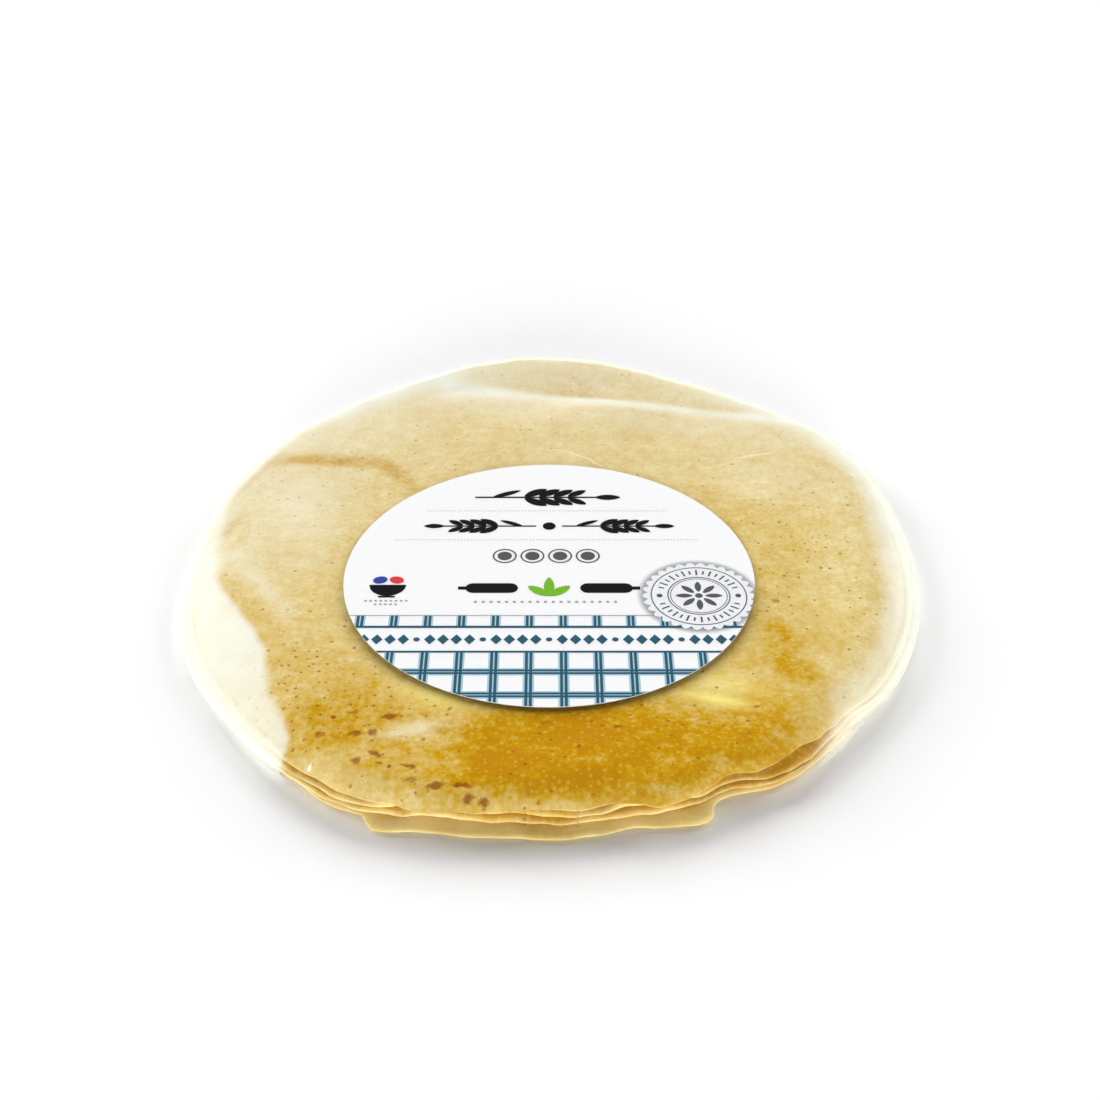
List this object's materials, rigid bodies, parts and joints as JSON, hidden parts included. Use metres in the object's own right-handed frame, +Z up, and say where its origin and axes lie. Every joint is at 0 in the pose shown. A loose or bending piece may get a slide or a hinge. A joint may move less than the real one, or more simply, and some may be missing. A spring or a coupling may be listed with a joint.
{
  "type": "film-wrapped pack of crepes",
  "caption": "Flat round pack of thin golden wheat crepes stacked in tight clear film, with a round white check-pattern label on top.",
  "frame": {"origin": "on the floor under the middle of the pack's outline", "axes": "+Z up through the stack, +Y from the folded front edge to the raised back edge"},
  "size_m": [0.2569, 0.2679, 0.0186],
  "materials": {
    "crepe": null,
    "film": "thin clear glossy wrapping film, drawn tight, with fine creases",
    "label": "smooth white coated label paper",
    "print": "flat printing inks on the label, slate teal, black, grey, green, blue and red"
  },
  "bodies": {
    "root": {"wrapped_crepes": "crepe", "label": "label"}
  },
  "joints": []
}
